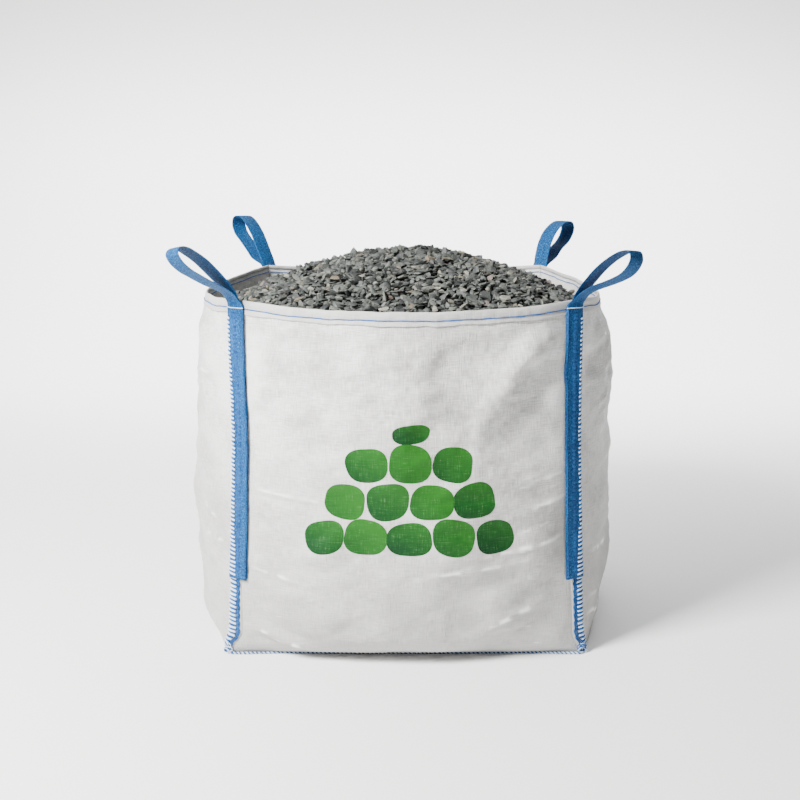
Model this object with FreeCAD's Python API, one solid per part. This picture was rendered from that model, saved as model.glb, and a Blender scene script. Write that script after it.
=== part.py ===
import math
import os

import FreeCAD
import Part

# A filled bulk bag of woven cloth. One length of cloth makes the left side, the base and the right
# side; the front and back panels are sewn to it. A webbing strap is sewn down each corner and its
# free end is the lifting loop. Millimetres, +Z up, the origin on the floor under the bag's middle.

# Driving dimensions
rim_height = 880            # the rim at the corners
rim_dip = 20                # how far the rim sinks midway between two corners
rim_corner = 411            # half the distance between neighbouring corners, at the rim
floor_flare = 31            # how much further out the corners stand at the floor
fullest_height = 350        # where the panels swell most
full_swell = 138            # how far a panel swells beyond the line between its corners
rim_swell_loss = 30         # how much less it swells at the rim
side_toe = 55               # how much less the sides swell where they turn under the bag
side_toe_height = 80        # how soon that fades with height
seamed_toe = 129            # the same for the front and back, which end in a seam on the floor
seamed_toe_height = 45
cloth = 2.0                 # panels, hems, fins and webbing are all this thick
gap = 0.3                   # air between neighbouring pieces
hem_depth = 31              # the rim's cloth, turned outwards
hem_stitch_drop = 19        # from the rim down to the stitching that holds the hem
fin_width = 20              # the panels' sewn edges, standing out at a seam
fin_root = 1                # how far from the corner they start
fin_head_drop = 36          # how far below the rim they end
overlock_width = 8          # thread wrapped over the edge of a fin
foot_fin_width = 11         # the same two for the seams under the front and back panels
foot_overlock_width = 4
thread = 0.6                # how far a row of stitches stands off the cloth
row_width = 1.6             # a row of stitches, across
strap_width = 50
strap_stitch_inset = 4      # from a strap's edges to the stitches that hold it
strap_stitch_foot = 8       # and from its lower end
strap_shift = -6            # how far a sewn strap's middle lies from the corner, towards the end panel
strap_foot = 195            # lower end of the sewn straps
strap_head = 2              # the sewn straps' upper end, above the rim
root_clearance = 5          # room for a loop's root to turn above its sewn legs
fill_height = 822           # the gravel against the panels
heap_height = 969
heap_roundness = 1.7        # 1 would be a cone

# Derived sizes
sewn_head = rim_height + strap_head
root_height = sewn_head + root_clearance
trim_low = gap
trim_high = trim_low + cloth
row_high = trim_high + gap + thread
inner_low = row_high + gap
inner_high = inner_low + cloth
outer_low = inner_high + gap
outer_high = outer_low + cloth
corner_share = 0.72         # a lift off the cloth, shared between X and Y, at a corner
level_count = 14
levels = [rim_height * (step / level_count) ** 1.8 for step in range(level_count + 1)]
level_clearance = 2         # a level is left out when it is this close to the end of a piece

# The lifting loops' centre lines: distance out from the corner, then height above the root.
# The front pair have sunk further outwards than the back pair.
front_loop_line = [
    (24, 13), (47, 27), (75, 43), (110, 61), (146, 82), (165, 104), (163, 121),
    (144, 125), (112, 112), (80, 89), (50, 62), (24, 35), (8, 14),
]
back_loop_line = [
    (28, 6), (50, 16), (74, 39), (104, 67), (130, 92), (137, 115), (122, 136),
    (95, 130), (66, 107), (44, 80), (27, 53), (13, 24),
]


def corner_distance(height):
    """Half the distance between neighbouring corners at a height."""
    return rim_corner + floor_flare * (1 - height / rim_height) ** 2


def swell(height, toe, toe_height):
    """How far a panel's middle stands out beyond its corners."""
    reach = abs(height - fullest_height) / (rim_height - fullest_height)
    return full_swell - rim_swell_loss * reach ** 3 - toe * math.exp(-height / toe_height)


def corner_and_crown(height, lift, seamed):
    """How far out a panel's corners and its middle are, at a lift off the bag's outer face."""
    toe = (seamed_toe, seamed_toe_height) if seamed else (side_toe, side_toe_height)
    corner = corner_distance(height)
    return corner + corner_share * lift, corner + swell(height, *toe) + lift


def panel_point(height, lift, seamed, from_corner):
    """Distance out, and distance along, of a point on a panel near its corner."""
    corner, crown = corner_and_crown(height, lift, seamed)
    rise = crown - corner
    radius = (corner ** 2 + rise ** 2) / (2 * rise)
    angle = math.asin(corner / radius) - from_corner / radius
    return crown - radius + radius * math.cos(angle), radius * math.sin(angle)


def panel_arc(height, lift, seamed):
    """The line of the right-hand panel at a height, from its front corner to its back one."""
    corner, crown = corner_and_crown(height, lift, seamed)
    start = FreeCAD.Vector(corner, -corner, height)
    middle = FreeCAD.Vector(crown, 0, height)
    end = FreeCAD.Vector(corner, corner, height)
    return Part.Arc(start, middle, end).toShape()


def closed_wire(first, second):
    """Two open lines that run the same way, joined at their ends."""
    starts = Part.makeLine(first.firstVertex().Point, second.firstVertex().Point)
    ends = Part.makeLine(first.lastVertex().Point, second.lastVertex().Point)
    return Part.Wire(Part.__sortEdges__([first, ends, second, starts]))


def levels_between(low, high):
    """The heights at which a piece that spans low to high is drawn."""
    first = low + level_clearance
    last = high - level_clearance
    return [low] + [level for level in levels if first < level < last] + [high]


def panel_band(low_lift, high_lift, seamed, low, high):
    """Cloth over the whole right-hand panel, between two lifts and two heights."""
    wires = []
    for height in levels_between(low, high):
        inside = panel_arc(height, low_lift, seamed)
        outside = panel_arc(height, high_lift, seamed)
        wires.append(closed_wire(inside, outside))
    return Part.makeLoft(wires, True)


def rim_band(upper_drop, lower_drop):
    """Everything between two copies of the sagging rim, for a right-hand panel."""
    reach = 1.5
    lines = []
    for drop in (upper_drop, lower_drop):
        middle = FreeCAD.Vector(0, 0, rim_height - rim_dip - drop)
        end = middle + FreeCAD.Vector(0, reach * rim_corner, rim_dip * reach ** 2)
        start = middle + FreeCAD.Vector(0, -reach * rim_corner, rim_dip * reach ** 2)
        lines.append(Part.Arc(start, middle, end).toShape())
    face = Part.Face(closed_wire(lines[0], lines[1]))
    return face.extrude(FreeCAD.Vector(2 * rim_height, 0, 0))


def turned(shape, degrees):
    """A copy of a right-hand piece, turned about the bag's middle."""
    copy = shape.copy()
    copy.rotate(FreeCAD.Vector(0, 0, 0), FreeCAD.Vector(0, 0, 1), degrees)
    return copy


def wall(low_lift, high_lift, seamed, low):
    """A panel's wall, cut to the sagging rim."""
    band = panel_band(low_lift, high_lift, seamed, low, rim_height)
    below_the_floor = 1.2 * rim_height
    return band.common(rim_band(0, below_the_floor))


def corner_strip(from_corner, to_corner, low_lift, high_lift, low, high):
    """A strip up the front right corner, between two distances from it.

    A distance is positive on the right-hand panel and negative on the front one."""
    stations = [from_corner, to_corner]
    if from_corner < 0 < to_corner:
        stations.insert(1, 0)
    wires = []
    for height in levels_between(low, high):
        points = []
        for lift, order in ((low_lift, stations), (high_lift, reversed(stations))):
            for station in order:
                out, along = panel_point(height, lift, station < 0, abs(station))
                point = (out, -along, height) if station >= 0 else (along, -out, height)
                points.append(FreeCAD.Vector(*point))
        wires.append(Part.makePolygon(points + points[:1]))
    return Part.makeLoft(wires, True)


def floor_strip(near, far):
    """A strip that lies on the floor along the foot of a seamed panel."""
    wire = closed_wire(panel_arc(0, near, True), panel_arc(0, far, True))
    return Part.Face(wire).extrude(FreeCAD.Vector(0, 0, cloth))


def section_wire(height, lift, scale):
    """The bag's whole outline at a height, shrunk by a scale."""
    edges = []
    for seamed, degrees in ((False, 0), (True, 90), (False, 180), (True, 270)):
        edges.append(turned(panel_arc(height, lift, seamed), degrees))
    wire = Part.Wire(Part.__sortEdges__(edges))
    matrix = FreeCAD.Matrix()
    matrix.scale(scale, scale, 1)
    return wire.transformGeometry(matrix)


def aggregate():
    """The gravel: a body that fills the panels and a heap above the rim."""
    lift = -cloth - gap
    body_levels = levels_between(cloth + gap, fill_height)
    body = Part.makeLoft([section_wire(height, lift, 1) for height in body_levels], True)
    rise = heap_height - fill_height
    heap_wires = []
    for scale in (1, 0.82, 0.62, 0.4, 0.2, 0.06):
        wire = section_wire(fill_height, lift, scale)
        wire.translate(FreeCAD.Vector(0, 0, rise * (1 - scale ** heap_roundness)))
        heap_wires.append(wire)
    return body.fuse(Part.makeLoft(heap_wires, True)).removeSplitter()


def ribbon(line):
    """Webbing along a centre line in the XZ plane, as wide as a strap."""
    points = [FreeCAD.Vector(out, 0, up) for out, up in line]
    centre = Part.BSplineCurve()
    centre.interpolate(points)
    station_count = 40
    faces = []
    for offset in (-cloth / 2, cloth / 2):
        stations = []
        for station in range(station_count + 1):
            place = centre.LastParameter * station / station_count
            tangent = centre.tangent(place)[0]
            across = FreeCAD.Vector(-tangent.z, 0, tangent.x)
            stations.append(centre.value(place) + across * offset)
        curve = Part.BSplineCurve()
        curve.interpolate(stations)
        faces.append(curve.toShape())
    face = Part.Face(closed_wire(faces[0], faces[1]))
    face.translate(FreeCAD.Vector(0, -strap_width / 2, 0))
    return face.extrude(FreeCAD.Vector(0, strap_width, 0))


def lifting_loop(line):
    """The free loop at the front right corner, its two ends side by side just above the rim."""
    diagonal = math.sqrt(2) * corner_share
    outer_root = ((outer_low + outer_high) / 2 * diagonal, 0)
    inner_root = ((inner_low + inner_high) / 2 * diagonal, 0)
    loop = turned(ribbon([outer_root] + line + [inner_root]), -45)
    corner = corner_distance(root_height)
    loop.translate(FreeCAD.Vector(corner, -corner, root_height))
    return loop


def strap_stitching():
    """Two rows of stitches down the outer leg of a strap, joined by a row across its foot."""
    low = outer_high + gap
    high = low + thread
    near = strap_shift - strap_width / 2 + strap_stitch_inset
    far = strap_shift + strap_width / 2 - strap_stitch_inset
    foot = strap_foot + strap_stitch_foot
    head = rim_height - hem_stitch_drop
    shape = corner_strip(near, far, low, high, foot, foot + row_width)
    for start in (near, far - row_width):
        row = corner_strip(start, start + row_width, low, high, foot, head)
        shape = shape.fuse(row)
    return shape.removeSplitter()


def body_panel():
    """The left side, the base and the right side, in one length of cloth."""
    side = wall(-cloth, 0, False, 0)
    wire = section_wire(0, -cloth / 2, 1)
    base = Part.Face(wire).extrude(FreeCAD.Vector(0, 0, cloth))
    return base.fuse([side, turned(side, 180)]).removeSplitter()


def mirrored(shape, left, back):
    """A front right piece, moved to another corner."""
    origin = FreeCAD.Vector(0, 0, 0)
    if left:
        shape = shape.mirror(origin, FreeCAD.Vector(1, 0, 0))
    if back:
        shape = shape.mirror(origin, FreeCAD.Vector(0, 1, 0))
    return shape


pieces = {"body_panel": body_panel(), "aggregate_fill": aggregate()}

# The front and back panels and the seams along their feet
seamed_wall = wall(-cloth, 0, True, cloth + gap)
bottom_fin = floor_strip(gap, foot_fin_width)
bottom_overlock = floor_strip(foot_fin_width + gap, foot_fin_width + foot_overlock_width)
for name, degrees in (("front", -90), ("back", 90)):
    pieces[name + "_panel"] = turned(seamed_wall, degrees)
    pieces["bottom_seam_" + name] = turned(bottom_fin, degrees)
    pieces["bottom_overlock_" + name] = turned(bottom_overlock, degrees)

# The hems and their stitching, which follow the sagging rim
hem_foot = rim_height - 2 * rim_dip - hem_depth
hem = panel_band(trim_low, trim_high, False, hem_foot, rim_height)
hem = hem.common(rim_band(0, hem_depth))
hem_rows = panel_band(trim_high + gap, row_high, False, hem_foot, rim_height)
hem_rows = hem_rows.common(rim_band(hem_stitch_drop, hem_stitch_drop + row_width))
for name, degrees in (("right", 0), ("back", 90), ("left", 180), ("front", -90)):
    pieces["hem_" + name] = turned(hem, degrees)
    pieces["hem_stitching_" + name] = turned(hem_rows, degrees)

# The corners: each has a seam, its overlock, a strap and a loop
fin_foot = 2 * cloth + 2 * gap
fin_head = rim_height - fin_head_drop
strap_edges = (strap_shift - strap_width / 2, strap_shift + strap_width / 2)
corner_pieces = {
    "corner_seam": corner_strip(fin_root, fin_width, trim_low, trim_high, fin_foot, fin_head),
    "corner_overlock": corner_strip(
        fin_width + gap, fin_width + overlock_width, trim_low, trim_high, fin_foot, fin_head
    ),
    "strap_inner": corner_strip(*strap_edges, inner_low, inner_high, strap_foot, sewn_head),
    "strap_outer": corner_strip(*strap_edges, outer_low, outer_high, strap_foot, sewn_head),
    "strap_stitching": strap_stitching(),
}
loops = {False: lifting_loop(front_loop_line), True: lifting_loop(back_loop_line)}
for back, depth_name in ((False, "front"), (True, "back")):
    for left, side_name in ((True, "left"), (False, "right")):
        ending = "_" + depth_name + "_" + side_name
        for name, shape in corner_pieces.items():
            pieces[name + ending] = mirrored(shape, left, back)
        pieces["lifting_loop" + ending] = mirrored(loops[back], left, back)

os.makedirs("parts", exist_ok=True)
for name, shape in pieces.items():
    shape.Solids[0].exportStep("parts/" + name + ".step")
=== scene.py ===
import math

import bmesh
import bpy
import numpy as np
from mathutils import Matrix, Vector
from mathutils.bvhtree import BVHTree


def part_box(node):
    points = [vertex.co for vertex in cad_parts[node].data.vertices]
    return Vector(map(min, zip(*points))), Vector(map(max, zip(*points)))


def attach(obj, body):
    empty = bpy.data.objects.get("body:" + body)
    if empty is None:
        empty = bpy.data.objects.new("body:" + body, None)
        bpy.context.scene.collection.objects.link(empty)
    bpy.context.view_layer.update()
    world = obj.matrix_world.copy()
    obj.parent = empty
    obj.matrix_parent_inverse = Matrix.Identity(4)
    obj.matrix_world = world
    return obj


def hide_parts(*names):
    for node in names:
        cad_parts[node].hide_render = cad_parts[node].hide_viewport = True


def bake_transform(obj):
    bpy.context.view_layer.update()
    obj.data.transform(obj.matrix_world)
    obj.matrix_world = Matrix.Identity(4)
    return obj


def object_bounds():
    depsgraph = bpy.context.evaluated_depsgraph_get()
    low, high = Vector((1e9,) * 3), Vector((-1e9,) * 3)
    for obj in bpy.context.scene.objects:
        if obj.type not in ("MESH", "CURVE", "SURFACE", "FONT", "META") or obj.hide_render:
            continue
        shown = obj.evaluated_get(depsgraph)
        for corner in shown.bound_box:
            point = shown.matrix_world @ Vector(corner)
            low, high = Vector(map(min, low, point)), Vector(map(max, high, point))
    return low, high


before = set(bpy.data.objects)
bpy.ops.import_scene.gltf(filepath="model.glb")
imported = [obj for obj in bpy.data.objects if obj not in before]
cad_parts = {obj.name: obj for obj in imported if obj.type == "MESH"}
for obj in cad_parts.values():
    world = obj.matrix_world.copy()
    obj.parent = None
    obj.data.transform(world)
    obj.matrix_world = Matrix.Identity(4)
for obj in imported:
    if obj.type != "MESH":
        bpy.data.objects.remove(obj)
cad_low, cad_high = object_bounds()

# ---------------------------------------------------------------- driving dimensions, in metres
CLOTH = 0.0009
WEBBING = 0.0019
STRAP_WIDTH = 0.050
STRAP_SHIFT = -0.006         # the sewn straps lie a little towards the front and back panels
OUTER_LIFT = 0.0068          # the middle of a strap's outer leg, off the skin
INNER_LIFT = 0.0045
HEM_DEPTH = 0.031
HEM_STITCH_DROP = 0.019
HALF_PANEL = 0.45            # from the middle of a panel to its corner, along the cloth
CORNER_REACH = 0.463         # the same, along the filled panel's curve
CLOTH_INSET = 0.0003         # how far inside the CAD's panel the cloth's outer face lies
FIN_EDGE = 0.0165            # where the edges of a corner seam end, out from the corner
SEAM_FOOT = 0.004
WEAVE_PITCH = 0.0026
OVERLOCK_PITCH = 0.0105
DEEPEST_FOLD = 0.017         # the stone inside stops a fold from going further in
FILL_HEIGHT = 0.80           # where the bed of stone meets the panels
SIDE_SLUMP = 0.024           # how far the loose stone has settled along the panels
GRAVEL_SPACING = 0.0135
STRAP_STEP = 0.004           # from one row of a strap's points to the next
SMALLEST_STONE = 0.0042
PANEL_ROWS = 216
PANEL_COLUMNS = 224
SIDE_ROWS = 162
SIDE_COLUMNS = 138
BASE_ROWS = 24
HEM_COLUMNS = 240
FOOT_COLUMNS = 241

PANELS = {
    "right": ("body_panel", 0),
    "back": ("back_panel", 90),
    "left": ("body_panel", 180),
    "front": ("front_panel", 270),
}
# Each corner: the panel it ends, at which end of it, and the same for the side panel
CORNERS = {
    "front_left": ("front", -1, "left", 1),
    "front_right": ("front", 1, "right", -1),
    "back_left": ("back", 1, "left", -1),
    "back_right": ("back", -1, "right", 1),
}


# ---------------------------------------------------------------- small tools
def smooth_step(value, low, high):
    """0 below low, 1 above high, and an even slope between them."""
    share = np.clip((value - low) / (high - low), 0, 1)
    return share * share * (3 - 2 * share)


def lattice_noise(x, y, size, seed):
    """Smooth noise from -1 to 1 with features about size across."""
    lattice = np.random.default_rng(seed).uniform(-1, 1, (64, 64))
    column, row = np.asarray(x) / size + 17.3, np.asarray(y) / size + 9.1
    left, low = np.floor(column).astype(int), np.floor(row).astype(int)
    fx, fy = column - left, row - low
    fx, fy = fx ** 3 * (fx * (6 * fx - 15) + 10), fy ** 3 * (fy * (6 * fy - 15) + 10)
    value = 0
    for across, weight_x in ((0, 1 - fx), (1, fx)):
        for up, weight_y in ((0, 1 - fy), (1, fy)):
            value = value + lattice[(left + across) % 64, (low + up) % 64] * weight_x * weight_y
    return value


def line_noise(place, size, seed):
    """The same noise along a line."""
    return lattice_noise(place, 0 * place, size, seed)


def unit(vectors):
    """The vectors at length 1."""
    return vectors / np.maximum(np.linalg.norm(vectors, axis=-1, keepdims=True), 1e-12)


def grid_faces(rows, columns, close_columns=False, start=0):
    """Quads of a grid of points stored row after row."""
    spans = columns if close_columns else columns - 1
    row, column = np.meshgrid(np.arange(rows - 1), np.arange(spans), indexing="ij")
    following = (column + 1) % columns
    corners = (
        row * columns + column, row * columns + following,
        (row + 1) * columns + following, (row + 1) * columns + column,
    )
    return np.stack([corner.ravel() for corner in corners], 1) + start


def make_piece(name, points, faces, material, body="bag", smooth=True, uv=None, values=None):
    """A mesh from arrays, riding on a body. uv and values hold one entry for each point."""
    mesh = bpy.data.meshes.new(name)
    whole_faces = [[int(index) for index in face] for face in faces]
    mesh.from_pydata(np.asarray(points).reshape(-1, 3).tolist(), [], whole_faces)
    mesh.polygons.foreach_set("use_smooth", [smooth] * len(mesh.polygons))
    corner_points = np.zeros(len(mesh.loops), int)
    mesh.loops.foreach_get("vertex_index", corner_points)
    if uv is not None:
        layer = mesh.uv_layers.new(name="cloth")
        layer.data.foreach_set("uv", np.asarray(uv, np.float32)[corner_points].ravel())
    for label, numbers in (values or {}).items():
        layer = mesh.attributes.new(label, "FLOAT", "POINT")
        layer.data.foreach_set("value", np.asarray(numbers, np.float32))
    mesh.materials.append(material)
    mesh.validate()
    piece = bpy.data.objects.new(name, mesh)
    bpy.context.scene.collection.objects.link(piece)
    if body:
        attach(piece, body)
    return piece


def closed_shell(outer, inner):
    """Points and faces of a cloth of two matching grids, closed round its edge."""
    rows, columns = outer.shape[:2]
    count = rows * columns
    faces = [grid_faces(rows, columns), grid_faces(rows, columns, start=count)[:, ::-1]]
    index = np.arange(count).reshape(rows, columns)
    border = np.concatenate([index[0, :-1], index[:-1, -1], index[-1, :0:-1], index[:0:-1, 0]])
    following = np.roll(border, -1)
    faces.append(np.stack([following, border, border + count, following + count], 1))
    return np.concatenate([outer.reshape(-1, 3), inner.reshape(-1, 3)]), np.concatenate(faces)


def grid_normals(grid):
    """Unit normals of a grid of points, pointing the way of rows crossed with columns."""
    along = np.gradient(grid, axis=1)
    up = np.gradient(grid, axis=0)
    return unit(np.cross(along, up))


def tube(path, radius, sides=6):
    """Points and faces of a closed-ended thread along a path of points."""
    tangent = unit(np.gradient(path, axis=0))
    first = np.cross(tangent, [0.0, 0.0, 1.0])
    weak = np.linalg.norm(first, axis=1) < 0.1
    first[weak] = np.cross(tangent[weak], [1.0, 0.3, 0.1])
    first = unit(first)
    second = np.cross(tangent, first)
    angle = np.linspace(0, 2 * math.pi, sides, endpoint=False)
    ring = first[:, None] * np.cos(angle)[None, :, None] + second[:, None] * np.sin(angle)[None, :, None]
    points = (path[:, None] + ring * radius).reshape(-1, 3)
    faces = grid_faces(len(path), sides, close_columns=True).tolist()
    faces.append(list(range(sides))[::-1])
    faces.append([len(points) - sides + k for k in range(sides)])
    return points, faces


def join(parts):
    """One set of points and faces from several."""
    points, faces, start = [], [], 0
    for part_points, part_faces in parts:
        points.append(part_points)
        faces += [[start + k for k in face] for face in part_faces]
        start += len(part_points)
    return np.concatenate(points), faces


def run_along(points):
    """The length of a line of points up to each of them."""
    return np.concatenate([[0], np.cumsum(np.linalg.norm(np.diff(points, axis=0), axis=1))])


def curve_through(points, step):
    """A smooth line through control points, with a point every step or so."""
    points = np.asarray(points, float)
    knots = np.concatenate([[0], np.cumsum(np.linalg.norm(np.diff(points, axis=0), axis=1) ** 0.5)])
    slopes = np.gradient(points, knots, axis=0)
    line = []
    for k in range(len(points) - 1):
        span = knots[k + 1] - knots[k]
        count = max(2, int(round(np.linalg.norm(points[k + 1] - points[k]) / step)))
        t = np.linspace(0, 1, count, endpoint=False)[:, None]
        line.append(
            (2 * t ** 3 - 3 * t ** 2 + 1) * points[k] + (t ** 3 - 2 * t ** 2 + t) * span * slopes[k]
            + (3 * t ** 2 - 2 * t ** 3) * points[k + 1] + (t ** 3 - t ** 2) * span * slopes[k + 1]
        )
    return np.concatenate(line + [points[-1:]])


# ---------------------------------------------------------------- the bag's skin, read from the CAD panels
def tree_of(node):
    """A CAD node's surface, to cast rays at."""
    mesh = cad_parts[node].data
    points = [vertex.co for vertex in mesh.vertices]
    return BVHTree.FromPolygons(points, [list(polygon.vertices) for polygon in mesh.polygons])


rim_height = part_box("front_panel")[1].z
floor_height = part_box("front_panel")[0].z
seam_head = rim_height - HEM_DEPTH
strap_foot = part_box("strap_outer_front_left")[0].z
trees = {node: tree_of(node) for node in ("front_panel", "back_panel", "body_panel", "aggregate_fill")}


def rim_dip():
    """How far the rim sinks midway between two corners."""
    for drop in np.arange(0, 0.06, 0.0005):
        start = Vector((0, -1.5, rim_height - drop))
        if trees["front_panel"].ray_cast(start, Vector((0, 1, 0)))[0] is not None:
            return drop
    return 0.0


RIM_DIP = rim_dip()
FIT_ACROSS, FIT_UP = 8, 14


def rim_at(across):
    """The rim's height at a place across a panel, from -1 to 1."""
    across = np.clip(across, -1, 1)
    sag = 1 - across ** 2
    uneven = 0.0024 * line_noise(across, 0.20, 3) + 0.0011 * line_noise(across, 0.06, 8)
    return rim_height - sag * (RIM_DIP + uneven)


def fit_terms(across, share):
    """The terms of a smooth function on a panel, which follows the panel most closely near its foot."""
    up = 2 * np.clip(share, 0, 1.2) ** 0.55 - 1
    terms = np.polynomial.chebyshev.chebvander2d(across, up, [FIT_ACROSS, FIT_UP])
    return terms.reshape(-1, (FIT_ACROSS + 1) * (FIT_UP + 1))


def fit_panel(node, degrees):
    """The distance from the bag's axis to a panel's outer face, as a smooth function."""
    places, distances = [], []
    for across in np.linspace(-0.992, 0.992, 33):
        angle = math.radians(degrees + 45 * across)
        outwards = Vector((math.cos(angle), math.sin(angle), 0))
        for share in np.linspace(0.002, 0.997, 60) ** 1.6:
            height = floor_height + share * (rim_at(across) - floor_height)
            hit = trees[node].ray_cast(outwards * 1.5 + Vector((0, 0, height)), -outwards)[0]
            if hit is not None:
                places.append((across, share))
                distances.append(Vector((hit.x, hit.y)).length)
    places = np.array(places)
    return np.linalg.lstsq(fit_terms(places[:, 0], places[:, 1]), np.array(distances), rcond=1e-7)[0]


fits = {name: fit_panel(*place) for name, place in PANELS.items()}


def soft_fold(x, z, start, end, width, height):
    """A rounded ridge, or a valley where height is negative, from one point to another."""
    start, end = np.array(start), np.array(end)
    line = end - start
    share = ((x - start[0]) * line[0] + (z - start[1]) * line[1]) / (line @ line)
    along = np.clip(share, 0, 1)
    away = np.hypot(x - start[0] - along * line[0], z - start[1] - along * line[1])
    taper = np.sin(math.pi * np.clip(share, 0.02, 0.98)) ** 0.6
    return height * taper * np.exp(-(away / width) ** 2)


# Folds of the front panel: start, end (across, up), width, height
FRONT_FOLDS = [
    ((0.375, 0.855), (0.150, 0.565), 0.030, 0.0085),
    ((0.420, 0.790), (0.255, 0.540), 0.030, -0.0105),
    ((0.160, 0.640), (0.130, 0.480), 0.024, -0.0035),
    ((0.06, 0.80), (0.02, 0.62), 0.040, 0.0040),
    ((-0.06, 0.80), (-0.10, 0.60), 0.035, -0.0030),
    ((-0.39, 0.84), (-0.20, 0.63), 0.024, -0.0085),
    ((-0.35, 0.84), (-0.14, 0.69), 0.018, 0.0060),
    ((-0.30, 0.83), (-0.10, 0.76), 0.016, -0.0040),
    ((-0.42, 0.66), (-0.20, 0.60), 0.020, 0.0040),
    ((-0.42, 0.62), (-0.16, 0.57), 0.022, -0.0048),
    ((-0.40, 0.53), (-0.10, 0.50), 0.020, 0.0026),
    ((-0.40, 0.432), (-0.20, 0.412), 0.007, 0.0034),
    ((-0.40, 0.416), (-0.20, 0.396), 0.011, -0.0026),
    ((0.27, 0.44), (0.41, 0.47), 0.013, 0.0034),
    ((0.25, 0.37), (0.41, 0.41), 0.013, 0.0038),
    ((0.26, 0.33), (0.40, 0.36), 0.011, -0.0032),
    ((0.18, 0.28), (0.40, 0.31), 0.014, 0.0034),
    ((0.02, 0.235), (0.30, 0.265), 0.013, 0.0030),
    ((0.10, 0.20), (0.38, 0.24), 0.016, -0.0034),
    ((0.20, 0.10), (0.38, 0.17), 0.014, 0.0044),
    ((0.24, 0.07), (0.40, 0.13), 0.012, -0.0040),
    ((-0.38, 0.215), (-0.14, 0.175), 0.014, -0.0030),
    ((-0.40, 0.235), (-0.24, 0.205), 0.010, 0.0024),
    ((-0.41, 0.075), (-0.26, 0.045), 0.014, 0.0050),
    ((-0.42, 0.12), (-0.16, 0.035), 0.018, -0.0050),
    ((-0.28, 0.33), (-0.02, 0.27), 0.030, 0.0030),
    ((0.00, 0.15), (0.22, 0.06), 0.026, -0.0034),
    ((0.285, 0.462), (0.345, 0.468), 0.005, 0.0016),
    ((0.330, 0.425), (0.395, 0.440), 0.005, 0.0018),
    ((0.275, 0.330), (0.370, 0.352), 0.005, 0.0018),
    ((0.240, 0.275), (0.350, 0.300), 0.005, 0.0018),
    ((0.285, 0.118), (0.330, 0.150), 0.006, 0.0020),
    ((0.040, 0.238), (0.130, 0.240), 0.004, 0.0012),
]


def random_folds(seed):
    """Folds for a panel that the front's folds don't describe: fans at its corners and short creases."""
    rng = np.random.default_rng(seed)
    folds = []
    for side in (-1, 1):
        for lean in rng.uniform(-0.75, -0.25, 2):
            start = np.array([side * 0.37, 0.83])
            reach = rng.uniform(0.14, 0.26)
            end = start + reach * np.array([-side * math.cos(lean), math.sin(lean)])
            folds.append((start, end, rng.uniform(0.02, 0.035), rng.uniform(-0.0060, 0.0045)))
        for lean in rng.uniform(0.05, 0.45, 4):
            start = np.array([side * rng.uniform(0.37, 0.41), rng.uniform(0.04, 0.3)])
            reach = rng.uniform(0.1, 0.22)
            end = start + reach * np.array([-side * math.cos(lean), -math.sin(lean) * 0.4])
            folds.append((start, end, rng.uniform(0.010, 0.018), rng.uniform(-0.0048, 0.0048)))
    for _ in range(16):
        start = np.array([rng.uniform(-0.36, 0.3), rng.uniform(0.08, 0.74)])
        end = start + np.array([rng.uniform(0.08, 0.20), rng.uniform(-0.05, 0.03)])
        folds.append((start, end, rng.uniform(0.009, 0.018), rng.uniform(-0.0042, 0.0042)))
    return folds


# How much further out than the CAD's a side panel's middle hangs: at its fullest, and at the rim
SIDE_LEAN = {"left": (0.011, 0.002), "right": (-0.005, -0.013)}
# The cloth's rumples, coarse to fine: depth, size, and how much finer than that size they are across and up
RUMPLES = [
    (0.0090, 0.180, 1.0, 1.0),
    (0.0055, 0.090, 1.0, 1.5),
    (0.0022, 0.040, 0.6, 1.6),
    (0.0008, 0.016, 0.8, 1.3),
]
panel_folds = {
    "front": FRONT_FOLDS,
    "right": random_folds(4),
    "back": random_folds(5),
    "left": random_folds(6),
}


def relief(panel, across, height):
    """How far the cloth stands off its smooth shape."""
    x = across * HALF_PANEL
    seed = 10 * list(PANELS).index(panel)
    away = 0.0
    for number, (depth, size, squeeze_x, squeeze_z) in enumerate(RUMPLES, 1):
        away = away + depth * lattice_noise(x * squeeze_x, height * squeeze_z, size, seed + number)
    for start, end, width, depth in panel_folds[panel]:
        away = away + soft_fold(x, height, start, end, width, depth)
    tight_rim = smooth_step(height, rim_height - 0.12, rim_height - 0.03)
    top = 1 + 0.5 * smooth_step(height, 0.50, 0.66) - tight_rim
    outwards = np.abs(across)
    sewn = 1 - 0.8 * smooth_step(outwards, 0.80, 0.93) - 0.2 * smooth_step(outwards, 0.93, 0.995)
    away = away * top * sewn
    away = np.where(away < 0, DEEPEST_FOLD * np.tanh(away / DEEPEST_FOLD), away)
    if panel in SIDE_LEAN:
        fullest, at_rim = SIDE_LEAN[panel]
        lean = fullest + (at_rim - fullest) * smooth_step(height, 0.70, rim_height)
        away = away + lean * np.clip(1 - across ** 2, 0, 1)
    return away * smooth_step(height, -0.002, 0.05)


def smooth_skin(panel, across, height):
    """Points on a panel's undisturbed outer face. across runs from -1 to 1 between its corners."""
    across, height = np.broadcast_arrays(np.asarray(across, float), np.asarray(height, float))
    share = (height - floor_height) / (rim_at(across) - floor_height)
    distance = (fit_terms(across.ravel(), share.ravel()) @ fits[panel]).reshape(across.shape)
    angle = np.radians(PANELS[panel][1] + 45 * across)
    return np.stack([distance * np.cos(angle), distance * np.sin(angle), height], -1)


def skin_normal(panel, across, height):
    """The way out from a panel's undisturbed outer face."""
    step = 0.004
    sideways = smooth_skin(panel, across + step, height) - smooth_skin(panel, across - step, height)
    upwards = smooth_skin(panel, across, height + step) - smooth_skin(panel, across, height - step)
    return unit(np.cross(sideways, upwards))


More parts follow.
